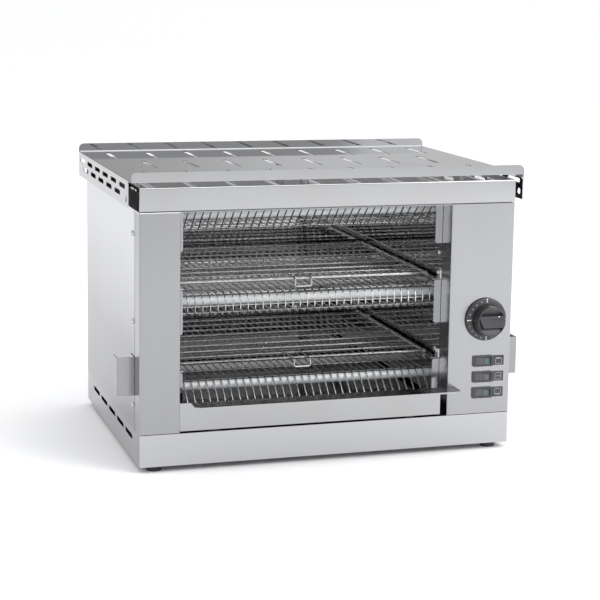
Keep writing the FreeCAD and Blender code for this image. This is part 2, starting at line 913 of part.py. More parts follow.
def switch_housing(place):
    """A bezel on the panel with the switch's body behind it, open for the rocker."""
    def slab(wide, tall, start, end):
        return block((place.x - wide / 2, place.x + wide / 2), (front + start, front + end),
                     (place.z - tall / 2, place.z + tall / 2))
    bezel = slab(bezel_width, bezel_height, -bezel_thickness, 0)
    corners = [V(place.x + sx * bezel_width / 2, 0, place.z + sz * bezel_height / 2)
               for sx in (-1, 1) for sz in (-1, 1)]
    bezel = soften(bezel, 1.5, V(0, 1, 0), corners)
    inside = slab(bezel_width - 2 * bezel_overlap, bezel_height - 2 * bezel_overlap,
                  0, switch_body_depth)
    pocket = slab(window_width, window_height, -bezel_thickness - 1,
                  rocker_pivot_depth + rocker_depth)
    return join([bezel, inside]).cut(pocket)


def rocker_pivot(place):
    return V(place.x, front + rocker_pivot_depth, place.z)


def rocker(place):
    """A shallow V-fronted rocker, tilted to its rest side, with a seat for the lens."""
    shape = rocker_blank(place).cut(lens_blank(place))
    shape.rotate(rocker_pivot(place), V(0, 0, 1), rocker_rest_tilt)
    return shape


def rocker_blank(place):
    reach = rocker_length / 2
    tall = window_height - 2 * running_gap
    low = place.z - tall / 2
    y = front
    points = [
        V(place.x - reach, y - rocker_proud, low),
        V(place.x, y - rocker_proud + 1.4, low),
        V(place.x + reach, y - rocker_proud, low),
        V(place.x + reach, y + 1.0, low),
        V(place.x + reach / 2, y + rocker_depth, low),
        V(place.x - reach / 2, y + rocker_depth, low),
        V(place.x - reach, y + 1.0, low),
    ]
    return Part.Face(Part.makePolygon(points + points[:1])).extrude(V(0, 0, tall))


def lens_blank(place):
    """The lens fills a slot across the rocker's right-hand end."""
    reach = rocker_length / 2
    right = place.x + reach - 2.2
    tall = window_height / 2 - 2
    return block((right - lens_width, right),
                 (front - rocker_proud - 0.2, front - rocker_proud + lens_depth + 1),
                 (place.z - tall, place.z + tall))


def lens(place):
    shape = lens_blank(place).common(rocker_blank(place))
    shape.rotate(rocker_pivot(place), V(0, 0, 1), rocker_rest_tilt)
    return shape


def rocker_pins():
    """A pin through each rocker, seated in the walls of its housing."""
    made = []
    reach = bezel_height / 2 - bezel_overlap
    for place in switch_places():
        pivot = rocker_pivot(place)
        made.append(rod(pivot - V(0, 0, reach), pivot + V(0, 0, reach), 1.0))
    return made


def legend_plates():
    """Small plates beside the switches, with a raised square frame each."""
    made = []
    tall = bezel_height / 2 - 0.8
    for place in switch_places():
        left = place.x + bezel_width / 2
        plate = block((left, left + legend_width), (front - legend_thickness, front),
                      (place.z - tall, place.z + tall))
        made.append(plate)
    return Part.makeCompound(made)


# Side grips, gland and supply terminals

def side_grip(side):
    """A folded channel behind the seam, open at the back for the fingers."""
    inner = side * half
    outer = side * (half + grip_reach)
    start = front + pillar_return + side_seam
    tall = (floor + grip_level, floor + grip_level + grip_tall)
    root = block(sorted((inner, inner + side * sheet)), (start, start + grip_length), tall)
    face = block(sorted((inner, outer)), (start, start + sheet), tall)
    cheek = block(sorted((outer - side * sheet, outer)), (start, start + grip_length), tall)
    shape = join([root, face, cheek])
    return soften(shape, bend_radius * 0.6, V(0, 0, 1), [V(outer, start, 0)])


def gland_place():
    return V(half - gland_from_right, back, floor + gland_level)


def cable_gland():
    """A threaded gland with a hexagonal nut, left empty."""
    place = gland_place()
    out = V(0, 1, 0)
    stem = rod(place - out * 8, place + out * gland_reach, gland_diameter / 2 - 3)
    corners = []
    for number in range(7):
        turn = math.radians(60 * number)
        corners.append(place + V(math.cos(turn), 0, math.sin(turn)) * (gland_diameter / 2))
    nut = Part.Face(Part.makePolygon(corners)).extrude(out * gland_reach * 0.4)
    dome = Part.makeCone(gland_diameter / 2 - 1, gland_diameter / 2 - 3.2, gland_reach * 0.5,
                         place + out * gland_reach * 0.4, out)
    lock = rod(place - out * 5, place - out * sheet, gland_diameter / 2)
    bore = rod(place - out * 9, place + out * (gland_reach + 1), gland_bore / 2)
    return join([stem, nut, dome, lock]).cut(bore)


def terminal_block():
    """A three-way ceramic terminal block on the plinth, inside the right-hand side."""
    place = gland_place()
    width, depth, tall = 36.0, 18.0, 14.0
    block_body = block((place.x - width / 2, place.x + width / 2), (back - 60, back - 60 + depth),
                       (floor, floor + tall))
    cutters = []
    for number in (-1, 0, 1):
        x = place.x + number * width / 3
        way = V(x, back - 61, floor + tall / 2)
        cutters.append(rod(way, way + V(0, depth + 2, 0), 2.2))
        top = V(x, back - 60 + depth / 2, floor + tall + 1)
        cutters.append(rod(top, top - V(0, 0, tall / 2), 2.0))
    return block_body.cut(cutters)


def main():
    os.makedirs("parts", exist_ok=True)
    save("base_plinth", plinth())
    save("bottom_cover", bottom_cover())
    save("feet", feet())
    save("foot_screws", foot_screws())
    save("left_pillar", pillar(-half, left_wall, -1))
    save("control_panel", control_panel())
    save("left_frame_post", frame_post(-1))
    save("right_frame_post", frame_post(1))
    save("left_side_panel", side_panel(-1))
    save("right_side_panel", side_panel(1))
    save("back_panel", back_panel())
    save("side_screws", side_screws())
    save("back_screws", back_screws())
    save("roof_panel", roof())
    save("top_deck", deck())
    save("deck_supports", deck_supports())
    save("tray_spacers", tray_spacers())
    save("top_tray", top_tray())
    save("left_liner", liner(-1))
    save("right_liner", liner(1))
    save("liner_screws", liner_screws())
    save("chamber_back", chamber_rear())
    save("chamber_ceiling", ceiling())
    save("bottom_quartz_tubes", quartz_tubes(0))
    save("middle_quartz_tubes", quartz_tubes(1))
    save("top_quartz_tubes", quartz_tubes(2))
    save("ceramic_end_caps", end_caps())
    save("heating_coils", heating_coils())
    save("left_link_strips", link_strips(-1))
    save("right_link_strips", link_strips(1))
    save("bottom_wire_guard", bottom_guard())
    save("middle_wire_guard", middle_guard())
    save("top_wire_guard", top_guard())
    save("lower_rack", rack(0))
    save("upper_rack", rack(1))
    save("left_rack_guides", rack_guides(-1))
    save("right_rack_guides", rack_guides(1))
    save("crumb_runners", crumb_runners())
    save("crumb_tray", crumb_tray())
    save("timer_knob", knob())
    save("timer_shaft", timer_shaft())
    save("timer_body", timer_body())
    for name, place, pin in zip(("top", "middle", "bottom"), switch_places(), rocker_pins()):
        bore = rod(pin.BoundBox.Center - V(0, 0, 20), pin.BoundBox.Center + V(0, 0, 20),
                   1.0 + shaft_clearance)
        save(name + "_switch_housing", switch_housing(place).cut(pin))
        save(name + "_rocker", rocker(place).cut(bore))
        save(name + "_rocker_lens", lens(place))
    save("rocker_pins", Part.makeCompound(rocker_pins()))
    save("legend_plates", legend_plates())
    save("left_side_grip", side_grip(-1))
    save("right_side_grip", side_grip(1))
    save("cable_gland", cable_gland())
    save("terminal_block", terminal_block())


main()
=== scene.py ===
import bmesh
import bpy
import json
import math
from mathutils import Matrix, Vector

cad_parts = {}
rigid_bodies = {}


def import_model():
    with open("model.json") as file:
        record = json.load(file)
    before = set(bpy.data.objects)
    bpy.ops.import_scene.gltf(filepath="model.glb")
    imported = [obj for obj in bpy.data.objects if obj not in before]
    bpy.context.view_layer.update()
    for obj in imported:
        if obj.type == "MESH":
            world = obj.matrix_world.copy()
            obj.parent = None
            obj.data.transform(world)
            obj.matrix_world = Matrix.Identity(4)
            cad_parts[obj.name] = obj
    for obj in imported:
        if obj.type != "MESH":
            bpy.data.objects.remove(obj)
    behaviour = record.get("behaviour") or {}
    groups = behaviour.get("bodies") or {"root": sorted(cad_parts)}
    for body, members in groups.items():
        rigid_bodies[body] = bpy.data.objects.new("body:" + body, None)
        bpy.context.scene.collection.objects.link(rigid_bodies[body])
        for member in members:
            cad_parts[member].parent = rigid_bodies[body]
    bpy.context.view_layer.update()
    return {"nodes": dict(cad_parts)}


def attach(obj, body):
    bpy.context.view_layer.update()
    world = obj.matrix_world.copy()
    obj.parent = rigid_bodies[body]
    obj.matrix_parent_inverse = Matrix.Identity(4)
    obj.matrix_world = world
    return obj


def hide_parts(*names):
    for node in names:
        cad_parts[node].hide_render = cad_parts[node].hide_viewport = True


for start_object in list(bpy.data.objects):
    bpy.data.objects.remove(start_object, do_unlink=True)
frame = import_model()


# The feet: four black rubber buttons under the plinth, moulded with a fine matt skin.
# Each is held by a pan-head screw, sunk in the foot and driven up through the bottom cover.

def finish(name, metal=0.0, coat=0.0):
    """A new material: its nodes, links, main shader and the object's own coordinates."""
    made = bpy.data.materials.new(name)
    made.use_nodes = True
    nodes, links = made.node_tree.nodes, made.node_tree.links
    shader = nodes["Principled BSDF"]
    shader.inputs["Metallic"].default_value = metal
    shader.inputs["Coat Weight"].default_value = coat
    place = nodes.new("ShaderNodeTexCoord").outputs["Object"]
    return made, nodes, links, shader, place


def speckle(nodes, links, place, stretch, detail=3.0):
    """Noise whose grains are 1/stretch metres long, along X, Y and Z or the same all round."""
    stretch = stretch if isinstance(stretch, tuple) else 3 * (stretch,)
    mapping = nodes.new("ShaderNodeMapping")
    mapping.inputs["Scale"].default_value = stretch
    noise = nodes.new("ShaderNodeTexNoise")
    noise.inputs["Scale"].default_value = 1.0
    noise.inputs["Detail"].default_value = detail
    links.new(place, mapping.inputs["Vector"])
    links.new(mapping.outputs["Vector"], noise.inputs["Vector"])
    return noise.outputs["Fac"]


def spread(nodes, links, value, dark, light, low=0.3, high=0.7):
    """A colour, or a grey used as a number, that goes from dark to light as the value rises."""
    ramp = nodes.new("ShaderNodeValToRGB")
    for stop, place, tone in zip(ramp.color_ramp.elements, (low, high), (dark, light)):
        stop.position = place
        stop.color = (*tone, 1.0) if isinstance(tone, tuple) else (tone, tone, tone, 1.0)
    links.new(value, ramp.inputs["Fac"])
    return ramp.outputs["Color"]


def relief(nodes, links, shader, value, depth, strength=1.0):
    """Raises the surface by the value times a depth in metres."""
    bump = nodes.new("ShaderNodeBump")
    bump.inputs["Strength"].default_value = strength
    bump.inputs["Distance"].default_value = depth
    links.new(value, bump.inputs["Height"])
    links.new(bump.outputs["Normal"], shader.inputs["Normal"])


def moulded(name, dark, light, rough, grain=2600.0, depth=0.00004, coat=0.0):
    """Moulded rubber or plastic with a fine skin and slightly uneven gloss."""
    made, nodes, links, shader, place = finish(name, coat=coat)
    cloud_grain, gloss_swing = 70.0, 0.06
    skin = speckle(nodes, links, place, grain, detail=2.0)
    cloud = speckle(nodes, links, place, cloud_grain, detail=4.0)
    links.new(spread(nodes, links, cloud, dark, light), shader.inputs["Base Color"])
    gloss = spread(nodes, links, cloud, rough - gloss_swing, rough + gloss_swing)
    links.new(gloss, shader.inputs["Roughness"])
    relief(nodes, links, shader, skin, depth)
    return made


def dress(node, material):
    """Gives a CAD node this material in all its slots."""
    for place in frame["nodes"][node].material_slots:
        place.material = material


def plated(name, dark, light, rough):
    """Bright zinc or nickel plating with a cloudy sheen."""
    made, nodes, links, shader, place = finish(name, metal=1.0)
    cloud_grain, gloss_swing, depth = 400.0, 0.12, 0.00002
    cloud = speckle(nodes, links, place, cloud_grain, detail=4.0)
    links.new(spread(nodes, links, cloud, dark, light), shader.inputs["Base Color"])
    gloss = spread(nodes, links, cloud, rough, rough + gloss_swing)
    links.new(gloss, shader.inputs["Roughness"])
    relief(nodes, links, shader, cloud, depth)
    return made


foot_rubber = moulded("foot_rubber", (0.012, 0.012, 0.013), (0.03, 0.03, 0.031), 0.62)
screw_zinc = plated("screw_zinc", (0.55, 0.55, 0.54), (0.8, 0.8, 0.79), 0.22)
dress("feet", foot_rubber)
dress("foot_screws", screw_zinc)


# The plinth: one folded box of stainless sheet, rolled grain running along its front,
# with air slots punched in both sides. A plain galvanised cover closes it below.

def blend(nodes, links, first, second, share):
    """Two values mixed into one, with this share of the second."""
    mixed = nodes.new("ShaderNodeMix")
    mixed.data_type = "FLOAT"
    mixed.inputs["Factor"].default_value = share
    links.new(first, mixed.inputs["A"])
    links.new(second, mixed.inputs["B"])
    return mixed.outputs["Result"]


def sheet_steel(name, tone, rough, grain, streak=0.018, gloss_swing=0.03):
    """Rolled sheet: fine streaks along the grain, broader bands, and faint hand smears."""
    made, nodes, links, shader, place = finish(name, metal=1.0)
    cool, band_stretch, smear_grain, depth = (0.98, 0.985, 1.025), 0.09, 11.0, 0.00002
    fine = speckle(nodes, links, place, grain, detail=5.0)
    broad = speckle(nodes, links, place, tuple(band_stretch * step for step in grain), detail=2.0)
    smear = speckle(nodes, links, place, smear_grain, detail=4.0)
    streaks = blend(nodes, links, fine, broad, 0.4)
    dark = tuple(tone * (1 - streak) * part for part in cool)
    light = tuple(tone * (1 + streak) * part for part in cool)
    shade = spread(nodes, links, streaks, dark, light, 0.35, 0.65)
    links.new(shade, shader.inputs["Base Color"])
    dullness = blend(nodes, links, smear, fine, 0.5)
    gloss = spread(nodes, links, dullness, rough - gloss_swing, rough + gloss_swing, 0.35, 0.65)
    links.new(gloss, shader.inputs["Roughness"])
    relief(nodes, links, shader, fine, depth, strength=0.5)
    return made


def ranged(nodes, links, value, low, high, at_low, at_high, way="LINEAR"):
    """A number that goes from one level to another as the value crosses a range."""
    node = nodes.new("ShaderNodeMapRange")
    node.interpolation_type = way
    for socket, number in (("From Min", low), ("From Max", high),
                           ("To Min", at_low), ("To Max", at_high)):
        node.inputs[socket].default_value = number
    links.new(value, node.inputs["Value"])
    return node.outputs["Result"]


def shaded(made, axis, low, high, at_low, at_high, target="Base Color"):
    """Scales a material's colour by a factor that changes with the distance from the middle.

    The factors are fitted to the photo, to stand for what the sheet mirrors there.
    """
    nodes, links = made.node_tree.nodes, made.node_tree.links
    colour = nodes["Principled BSDF"].inputs[target]
    split, away = nodes.new("ShaderNodeSeparateXYZ"), nodes.new("ShaderNodeMath")
    scaled = nodes.new("ShaderNodeVectorMath")
    away.operation, scaled.operation = "ABSOLUTE", "SCALE"
    links.new(nodes.new("ShaderNodeTexCoord").outputs["Object"], split.inputs["Vector"])
    links.new(split.outputs[axis], away.inputs[0])
    factor = ranged(nodes, links, away.outputs["Value"], low, high, at_low, at_high)
    if colour.links:
        links.new(colour.links[0].from_socket, scaled.inputs[0])
    else:
        scaled.inputs[0].default_value = (1.0, 1.0, 1.0)
    links.new(factor, scaled.inputs["Scale"])
    links.new(scaled.outputs["Vector"], colour)


along_x, upright, spangled = (7.0, 1500.0, 1500.0), (1500.0, 1500.0, 7.0), (60.0, 60.0, 60.0)
plinth_steel = sheet_steel("plinth_steel", 0.485, 0.22, along_x)
# Painted shade: the plinth's sides are darker than its front.
plinth_side_shade = 0.2494, 0.2499
shaded(plinth_steel, "X", *plinth_side_shade, at_low=1.0, at_high=0.76)
galvanised = sheet_steel("galvanised", 0.42, 0.42, spangled, streak=0.12, gloss_swing=0.08)
dress("base_plinth", plinth_steel)
dress("bottom_cover", galvanised)


# The front pillars, side panels and back: stainless sheet with upright grain. The right pillar
# is the control panel. Hidden posts behind the side seams join them, held by three screws a side.
# Fitted tones of painted light: a painted highlight on the left pillar's top edge, and painted
# reflection rising up the side panels.

pillar_steel = sheet_steel("pillar_steel", 0.345, 0.24, upright)
# Painted highlight along the left pillar's top edge.
pillar_edge_highlight = 0.3290, 0.3291
shaded(pillar_steel, "Z", *pillar_edge_highlight, at_low=1.0, at_high=2.3)
control_steel = sheet_steel("control_steel", 0.372, 0.24, upright)
panel_steel = sheet_steel("panel_steel", 0.46, 0.14, upright)
# Painted reflection: the side panels are darker low down and lighter high up.
panel_reflection_rise = 0.15, 0.3
shaded(panel_steel, "Z", *panel_reflection_rise, at_low=0.52, at_high=1.3)
rear_steel = sheet_steel("rear_steel", 0.58, 0.32, upright)
dress("left_frame_post", galvanised)
dress("right_frame_post", galvanised)
dress("left_pillar", pillar_steel)
dress("control_panel", control_steel)
dress("left_side_panel", panel_steel)
dress("right_side_panel", panel_steel)
dress("back_panel", rear_steel)
dress("back_screws", screw_zinc)


# The side screws: pan heads with a cross recess, nickel bright against the panels.
# Each head is turned and domed, carries a black cross of painted shade for its recess, and sits
# flat on the sheet.

def piece(name, mesh, body, material, *stands_for, smooth=True):
    """Puts a mesh in the scene as a piece that rides on a CAD body."""
    made = bpy.data.objects.new(name, mesh)
    bpy.context.scene.collection.objects.link(made)
    if material is not None:
        mesh.materials.clear()
        mesh.materials.append(material)
    for face in mesh.polygons:
        face.use_smooth = smooth
    if smooth:
        mesh.set_sharp_from_angle(angle=math.radians(32))
    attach(made, body)
    if stands_for:
        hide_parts(*stands_for)
    return made


def turned(shape, centre, axis, profile, sides):
    """Adds a turned form: profile is (radius, height) pairs along the axis from the centre."""
    turn = Vector((0, 0, 1)).rotation_difference(Vector(axis)).to_matrix()
    rings = []
    for radius, height in profile:
        if radius == 0.0:
            rings.append([shape.verts.new(Vector(centre) + turn @ Vector((0, 0, height)))])
            continue
        ring = []
        for number in range(sides):
            angle = 2 * math.pi * number / sides
            point = Vector((radius * math.cos(angle), radius * math.sin(angle), height))
            ring.append(shape.verts.new(Vector(centre) + turn @ point))
        rings.append(ring)
    for lower, upper in zip(rings, rings[1:]):
        for number in range(sides):
            after = (number + 1) % sides
            loop = [lower[number % len(lower)], lower[after % len(lower)],
                    upper[after % len(upper)], upper[number % len(upper)]]
            distinct = list(dict.fromkeys(loop))
            if len(distinct) > 2:
                shape.faces.new(distinct)


def slab(shape, low, high, turn=None):
    """Adds a box between two corners, turned by a matrix if one is given."""
    low, high = Vector(low), Vector(high)
    made = bmesh.ops.create_cube(shape, size=1.0)["verts"]
    size = high - low
    for vert in made:
        vert.co = Vector([part * span for part, span in zip(vert.co, size)]) + (low + high) / 2
    if turn is not None:
        bmesh.ops.transform(shape, matrix=turn, verts=made)


def mesh_of(name, shape):
    """Turns finished mesh work into a mesh, with its faces pointing outwards."""
    bmesh.ops.recalc_face_normals(shape, faces=shape.faces)
    mesh = bpy.data.meshes.new(name)
    shape.to_mesh(mesh)
    shape.free()
    return mesh


def copying(name, result, **sockets):
    """Starts a node tree with named inputs, and ends it: copies on points, made real, coated."""
    group = bpy.data.node_groups.new(name, "GeometryNodeTree")
    for label, kind in sockets.items():
        group.interface.new_socket(label, in_out="INPUT", socket_type="NodeSocket" + kind)
    group.interface.new_socket(result, in_out="OUTPUT", socket_type="NodeSocketGeometry")
    new, link = group.nodes.new, group.links.new
    given, made = new("NodeGroupInput"), new("NodeGroupOutput")
    copies, real = new("GeometryNodeInstanceOnPoints"), new("GeometryNodeRealizeInstances")
    coat = new("GeometryNodeSetMaterial")
    link(copies.outputs["Instances"], real.inputs["Geometry"])
    link(real.outputs["Geometry"], coat.inputs["Geometry"])
    link(given.outputs["Finish"], coat.inputs["Material"])
    link(coat.outputs["Geometry"], made.inputs[result])
    return group, given.outputs, copies.inputs


def copied_form():
    """Geometry nodes: put a copy of the given form on every point of the given places."""
    group, given, copies = copying("copied_form", "Copies", Places="Geometry", Form="Object",
                                   Finish="Material")
    form = group.nodes.new("GeometryNodeObjectInfo")
    group.links.new(given["Form"], form.inputs["Object"])
    group.links.new(given["Places"], copies["Points"])
    group.links.new(form.outputs["Geometry"], copies["Instance"])
    return group


def grown(name, points, group, body, settings, *stands_for):
    """Runs a node group on a line through the points and keeps the result as a plain mesh."""
    line = bpy.data.meshes.new(name + "_line")
    line.from_pydata([tuple(p) for p in points], [(n, n + 1) for n in range(len(points) - 1)], [])
    holder = bpy.data.objects.new(name + "_holder", line)
    bpy.context.scene.collection.objects.link(holder)
    work = holder.modifiers.new("nodes", "NODES")
    work.node_group = group
    for item in group.interface.items_tree:
        if item.in_out == "INPUT" and item.name in settings:
            work[item.identifier] = settings[item.name]
    ready = holder.evaluated_get(bpy.context.evaluated_depsgraph_get())
    mesh = bpy.data.meshes.new_from_object(ready)
    bpy.data.objects.remove(holder)
    return piece(name, mesh, body, None, *stands_for)


def screws(name, places, axis, *stands_for):
    """Domed heads, and a black cross of painted shade standing for the recess in each."""
    radius, height = 0.0035, 0.0022
    arm, half_width = radius * 0.5, radius * 0.11
    head, cross = bmesh.new(), bmesh.new()
    dome = [(radius, 0.0), (radius, height * 0.35), (radius * 0.93, height * 0.68),
            (radius * 0.72, height * 0.92), (radius * 0.4, height), (0.0, height)]
    turned(head, (0, 0, 0), axis, dome, 32)
    turn = Vector((0, 0, 1)).rotation_difference(Vector(axis)).to_matrix().to_4x4()
    for x, y in ((arm, half_width), (half_width, arm)):
        slab(cross, (-x, -y, height * 0.9), (x, y, height * 1.01), turn)
    for ending, shape, coat, stood in (("", head, screw_zinc, stands_for),
                                       ("_crosses", cross, recess_black, ())):
        form = bpy.data.objects.new("form", mesh_of("form", shape))
        made = grown(name + ending, places, copied, "casing", {"Form": form, "Finish": coat},
                     *stood)
        bpy.data.objects.remove(form)


copied = copied_form()
recess_black = moulded("recess_black", (0.01, 0.01, 0.01), (0.03, 0.03, 0.03), 0.5)
side_face, side_screw_y, side_screw_levels = 0.25, -0.1405, (0.0799, 0.1882, 0.2993)
for side, word, *stands_for in ((-1, "left", "side_screws"), (1, "right")):
    spots = [Vector((side * side_face, side_screw_y, level)) for level in side_screw_levels]
    screws(word + "_side_screw_heads", spots, (side, 0, 0), *stands_for)


# The chamber: mirror-bright stainless walls, back and ceiling that throw the heat inwards.
# Heat has browned them only faintly. Fitted tone of painted shade: darker on the faces of the
# left wall's tabs.

def mirror_steel(name, tone, rough, grain):
    """Polished sheet: almost a mirror, with hairline rolling marks and a breath of heat tint."""
    made, nodes, links, shader, place = finish(name, metal=1.0)
    cloud_grain, gloss_swing, depth = 16.0, 0.04, 0.0004
    lines = speckle(nodes, links, place, grain, detail=4.0)
    cloud = speckle(nodes, links, place, cloud_grain)
    warm = (tone * 0.97, tone * 0.96, tone * 0.955)
    clean = (tone * 0.99, tone, tone * 1.03)
    links.new(spread(nodes, links, cloud, warm, clean, 0.25, 0.6), shader.inputs["Base Color"])
    gloss = spread(nodes, links, lines, rough, rough + gloss_swing)
    links.new(gloss, shader.inputs["Roughness"])
    relief(nodes, links, shader, cloud, depth, strength=0.1)
    return made


front, left_wall, right_wall = -0.1805, -0.198, 0.162
rolled_back, rolled_across = (900.0, 9.0, 900.0), (9.0, 900.0, 900.0)
wall_mirror = mirror_steel("wall_mirror", 0.62, 0.02, rolled_back)
back_mirror = mirror_steel("back_mirror", 0.58, 0.03, rolled_across)
left_shaded_mirror = mirror_steel("left_shaded_mirror", 0.62, 0.02, rolled_back)
# Painted shade on the faces of the left wall's tabs.
tab_face_shade = 0.1484, 0.1486
shaded(left_shaded_mirror, "Y", *tab_face_shade, at_low=1.0, at_high=0.5)
dress("left_liner", left_shaded_mirror)
dress("right_liner", wall_mirror)
for node in ("chamber_back", "chamber_ceiling"):
    dress(node, back_mirror)
liner_screw_places = ((0.044, 0.2611), (0.048, 0.1296), (0.092, 0.1106), (0.081, 0.2116))
for inwards, wall, word, *stands_for in ((1, left_wall, "left", "liner_screws"),
                                         (-1, right_wall, "right")):
    spots = [Vector((wall, front + y, z)) for y, z in liner_screw_places]
    screws(word + "_liner_screw_heads", spots, (inwards, 0, 0), *stands_for)


# The heaters: milky quartz tubes on three levels, each round a wound element, here a core.
# White ceramic caps behind the walls hold their ends, and nickel strips join the terminals.

def milky_quartz():
    """Satin quartz that lets a little light through, cloudier in places along the tube."""
    made, nodes, links, shader, place = finish("milky_quartz", coat=0.4)
    cloud_grain, depth = (30.0, 260.0, 260.0), 0.0002
    cloud = speckle(nodes, links, place, cloud_grain)
    tint = spread(nodes, links, cloud, (0.72, 0.74, 0.76), (0.86, 0.87, 0.88))
    links.new(tint, shader.inputs["Base Color"])
    links.new(spread(nodes, links, cloud, 0.22, 0.38), shader.inputs["Roughness"])
    shader.inputs["Transmission Weight"].default_value = 0.12
    shader.inputs["Subsurface Weight"].default_value = 0.2
    shader.inputs["Subsurface Radius"].default_value = (0.004, 0.004, 0.004)
    relief(nodes, links, shader, cloud, depth, strength=0.3)
    return made


quartz = milky_quartz()
ceramic = moulded("ceramic", (0.72, 0.7, 0.65), (0.84, 0.82, 0.77), 0.45, grain=1500.0)
element = plated("element", (0.16, 0.14, 0.13), (0.32, 0.3, 0.28), 0.45)
nickel = plated("nickel", (0.5, 0.48, 0.43), (0.72, 0.7, 0.64), 0.28)
for level in ("bottom", "middle", "top"):
    dress(level + "_quartz_tubes", quartz)
dress("ceramic_end_caps", ceramic)
dress("heating_coils", element)
dress("left_link_strips", nickel)
dress("right_link_strips", nickel)


# The wire guards: bright wire bent to shape, thirty-five side by side on each level, welded to
# straight wires that end in the walls. They keep bread off the tubes.

def repeated_wire():
    """Geometry nodes: sweep a round wire along the given line and repeat it in even steps."""
    group, given, copies = copying("repeated_wire", "Wires", Line="Geometry", Count="Int",
                                   Step="Vector", Radius="Float", Finish="Material")
    new, link = group.nodes.new, group.links.new
    curve, ring, sweep = (new("GeometryNodeMeshToCurve"), new("GeometryNodeCurvePrimitiveCircle"),
                          new("GeometryNodeCurveToMesh"))
    ring.inputs["Resolution"].default_value = 10
    sweep.inputs["Fill Caps"].default_value = True
    row = new("GeometryNodeMeshLine")
    link(given["Line"], curve.inputs["Mesh"])
    link(given["Radius"], ring.inputs["Radius"])
    link(curve.outputs["Curve"], sweep.inputs["Curve"])
    link(ring.outputs["Curve"], sweep.inputs["Profile Curve"])
    link(given["Count"], row.inputs["Count"])
    link(given["Step"], row.inputs["Offset"])
    link(row.outputs["Mesh"], copies["Points"])
    link(sweep.outputs["Mesh"], copies["Instance"])
    return group


def rounded(points, radius, steps=7):
    """The points with each inner corner replaced by an arc."""
    points = [Vector(p) for p in points]
    path = [points[0]]
    for before, corner, after in zip(points, points[1:], points[2:]):
        into, out = (corner - before).normalized(), (after - corner).normalized()
        turn = into.angle(out)
        reach = min(radius * math.tan(turn / 2), (corner - before).length * 0.49,
                    (after - corner).length * 0.49)
        start, end = corner - into * reach, corner + out * reach
        for step in range(steps + 1):
            t = step / steps
            path.append(start.lerp(corner, t).lerp(corner.lerp(end, t), t))
    return path + [points[-1]]


def wire(name, points, body, radius, coat, count, step, *stands_for):
    """One piece of round wires: each follows the points, a step beside the one before."""
    made = grown(name, points, wires, body,
                 {"Count": count, "Step": step, "Radius": radius, "Finish": coat}, *stands_for)


def guard(name, path, cross_rows):
    """One level's bent wires, and rows of straight wires welded against them."""
    points = [Vector((guard_left, y, z)) for y, z in path]
    wire(name + "_bent_wires", rounded(points, guard_bend), "casing", guard_radius, bright_wire,
         guard_count, (guard_pitch, 0, 0), name)
    for number, (y, z, count, pitch) in enumerate(cross_rows):
        wire(name + "_cross_wires_" + str(number), [(cross_left, y, z), (cross_right, y, z)],
             "casing", guard_radius, bright_wire, count, (0, pitch, 0))


wires = repeated_wire()
bright_wire = plated("bright_wire", (0.5, 0.5, 0.49), (0.74, 0.74, 0.73), 0.1)
guard_radius, guard_bend, guard_pitch, guard_count = 0.0009, 0.006, 0.01, 35
guard_left, chamber_rear = -0.188, 0.1505
cross_left, cross_right, cross_count, weld = -0.1978, 0.1618, 6, 0.0016
low_level = 0.0993
guard("bottom_wire_guard", [(front + 0.030, low_level - 0.0363), (front + 0.068, low_level),
                            (chamber_rear, low_level)],
      [(front + 0.076, low_level - weld, cross_count, 0.0494)])
loop_radius, loop_top, loop_steps = 0.0141, 0.2149, 12
middle_level, nose = loop_top - loop_radius, front + 0.046 + loop_radius
around = []
for number in range(loop_steps + 1):
    angle = math.pi * (0.5 + number / loop_steps)
    around.append((nose + loop_radius * math.cos(angle),
                   middle_level + loop_radius * math.sin(angle)))
inside = loop_radius - weld
guard("middle_wire_guard", [(chamber_rear, middle_level + loop_radius)] + around +
      [(chamber_rear, middle_level - loop_radius)],
      [(nose + 0.008, middle_level + inside, cross_count, 0.0508),
       (nose + 0.008, middle_level - inside, cross_count, 0.0508),
       (nose - inside, middle_level, 1, 0.0)])
high_level, slope_top = 0.2950, 0.3264
guard("top_wire_guard", [(front + 0.042, slope_top), (front + 0.076, high_level),
                         (chamber_rear, high_level)],
      [(front + 0.084, high_level + weld, cross_count, 0.0478)])


# The rack guides: folded stainless ledges on each wall, polished bright where the racks slide.
# The racks: welded grids of round wire with thicker side rods, and a hairpin loop to pull.

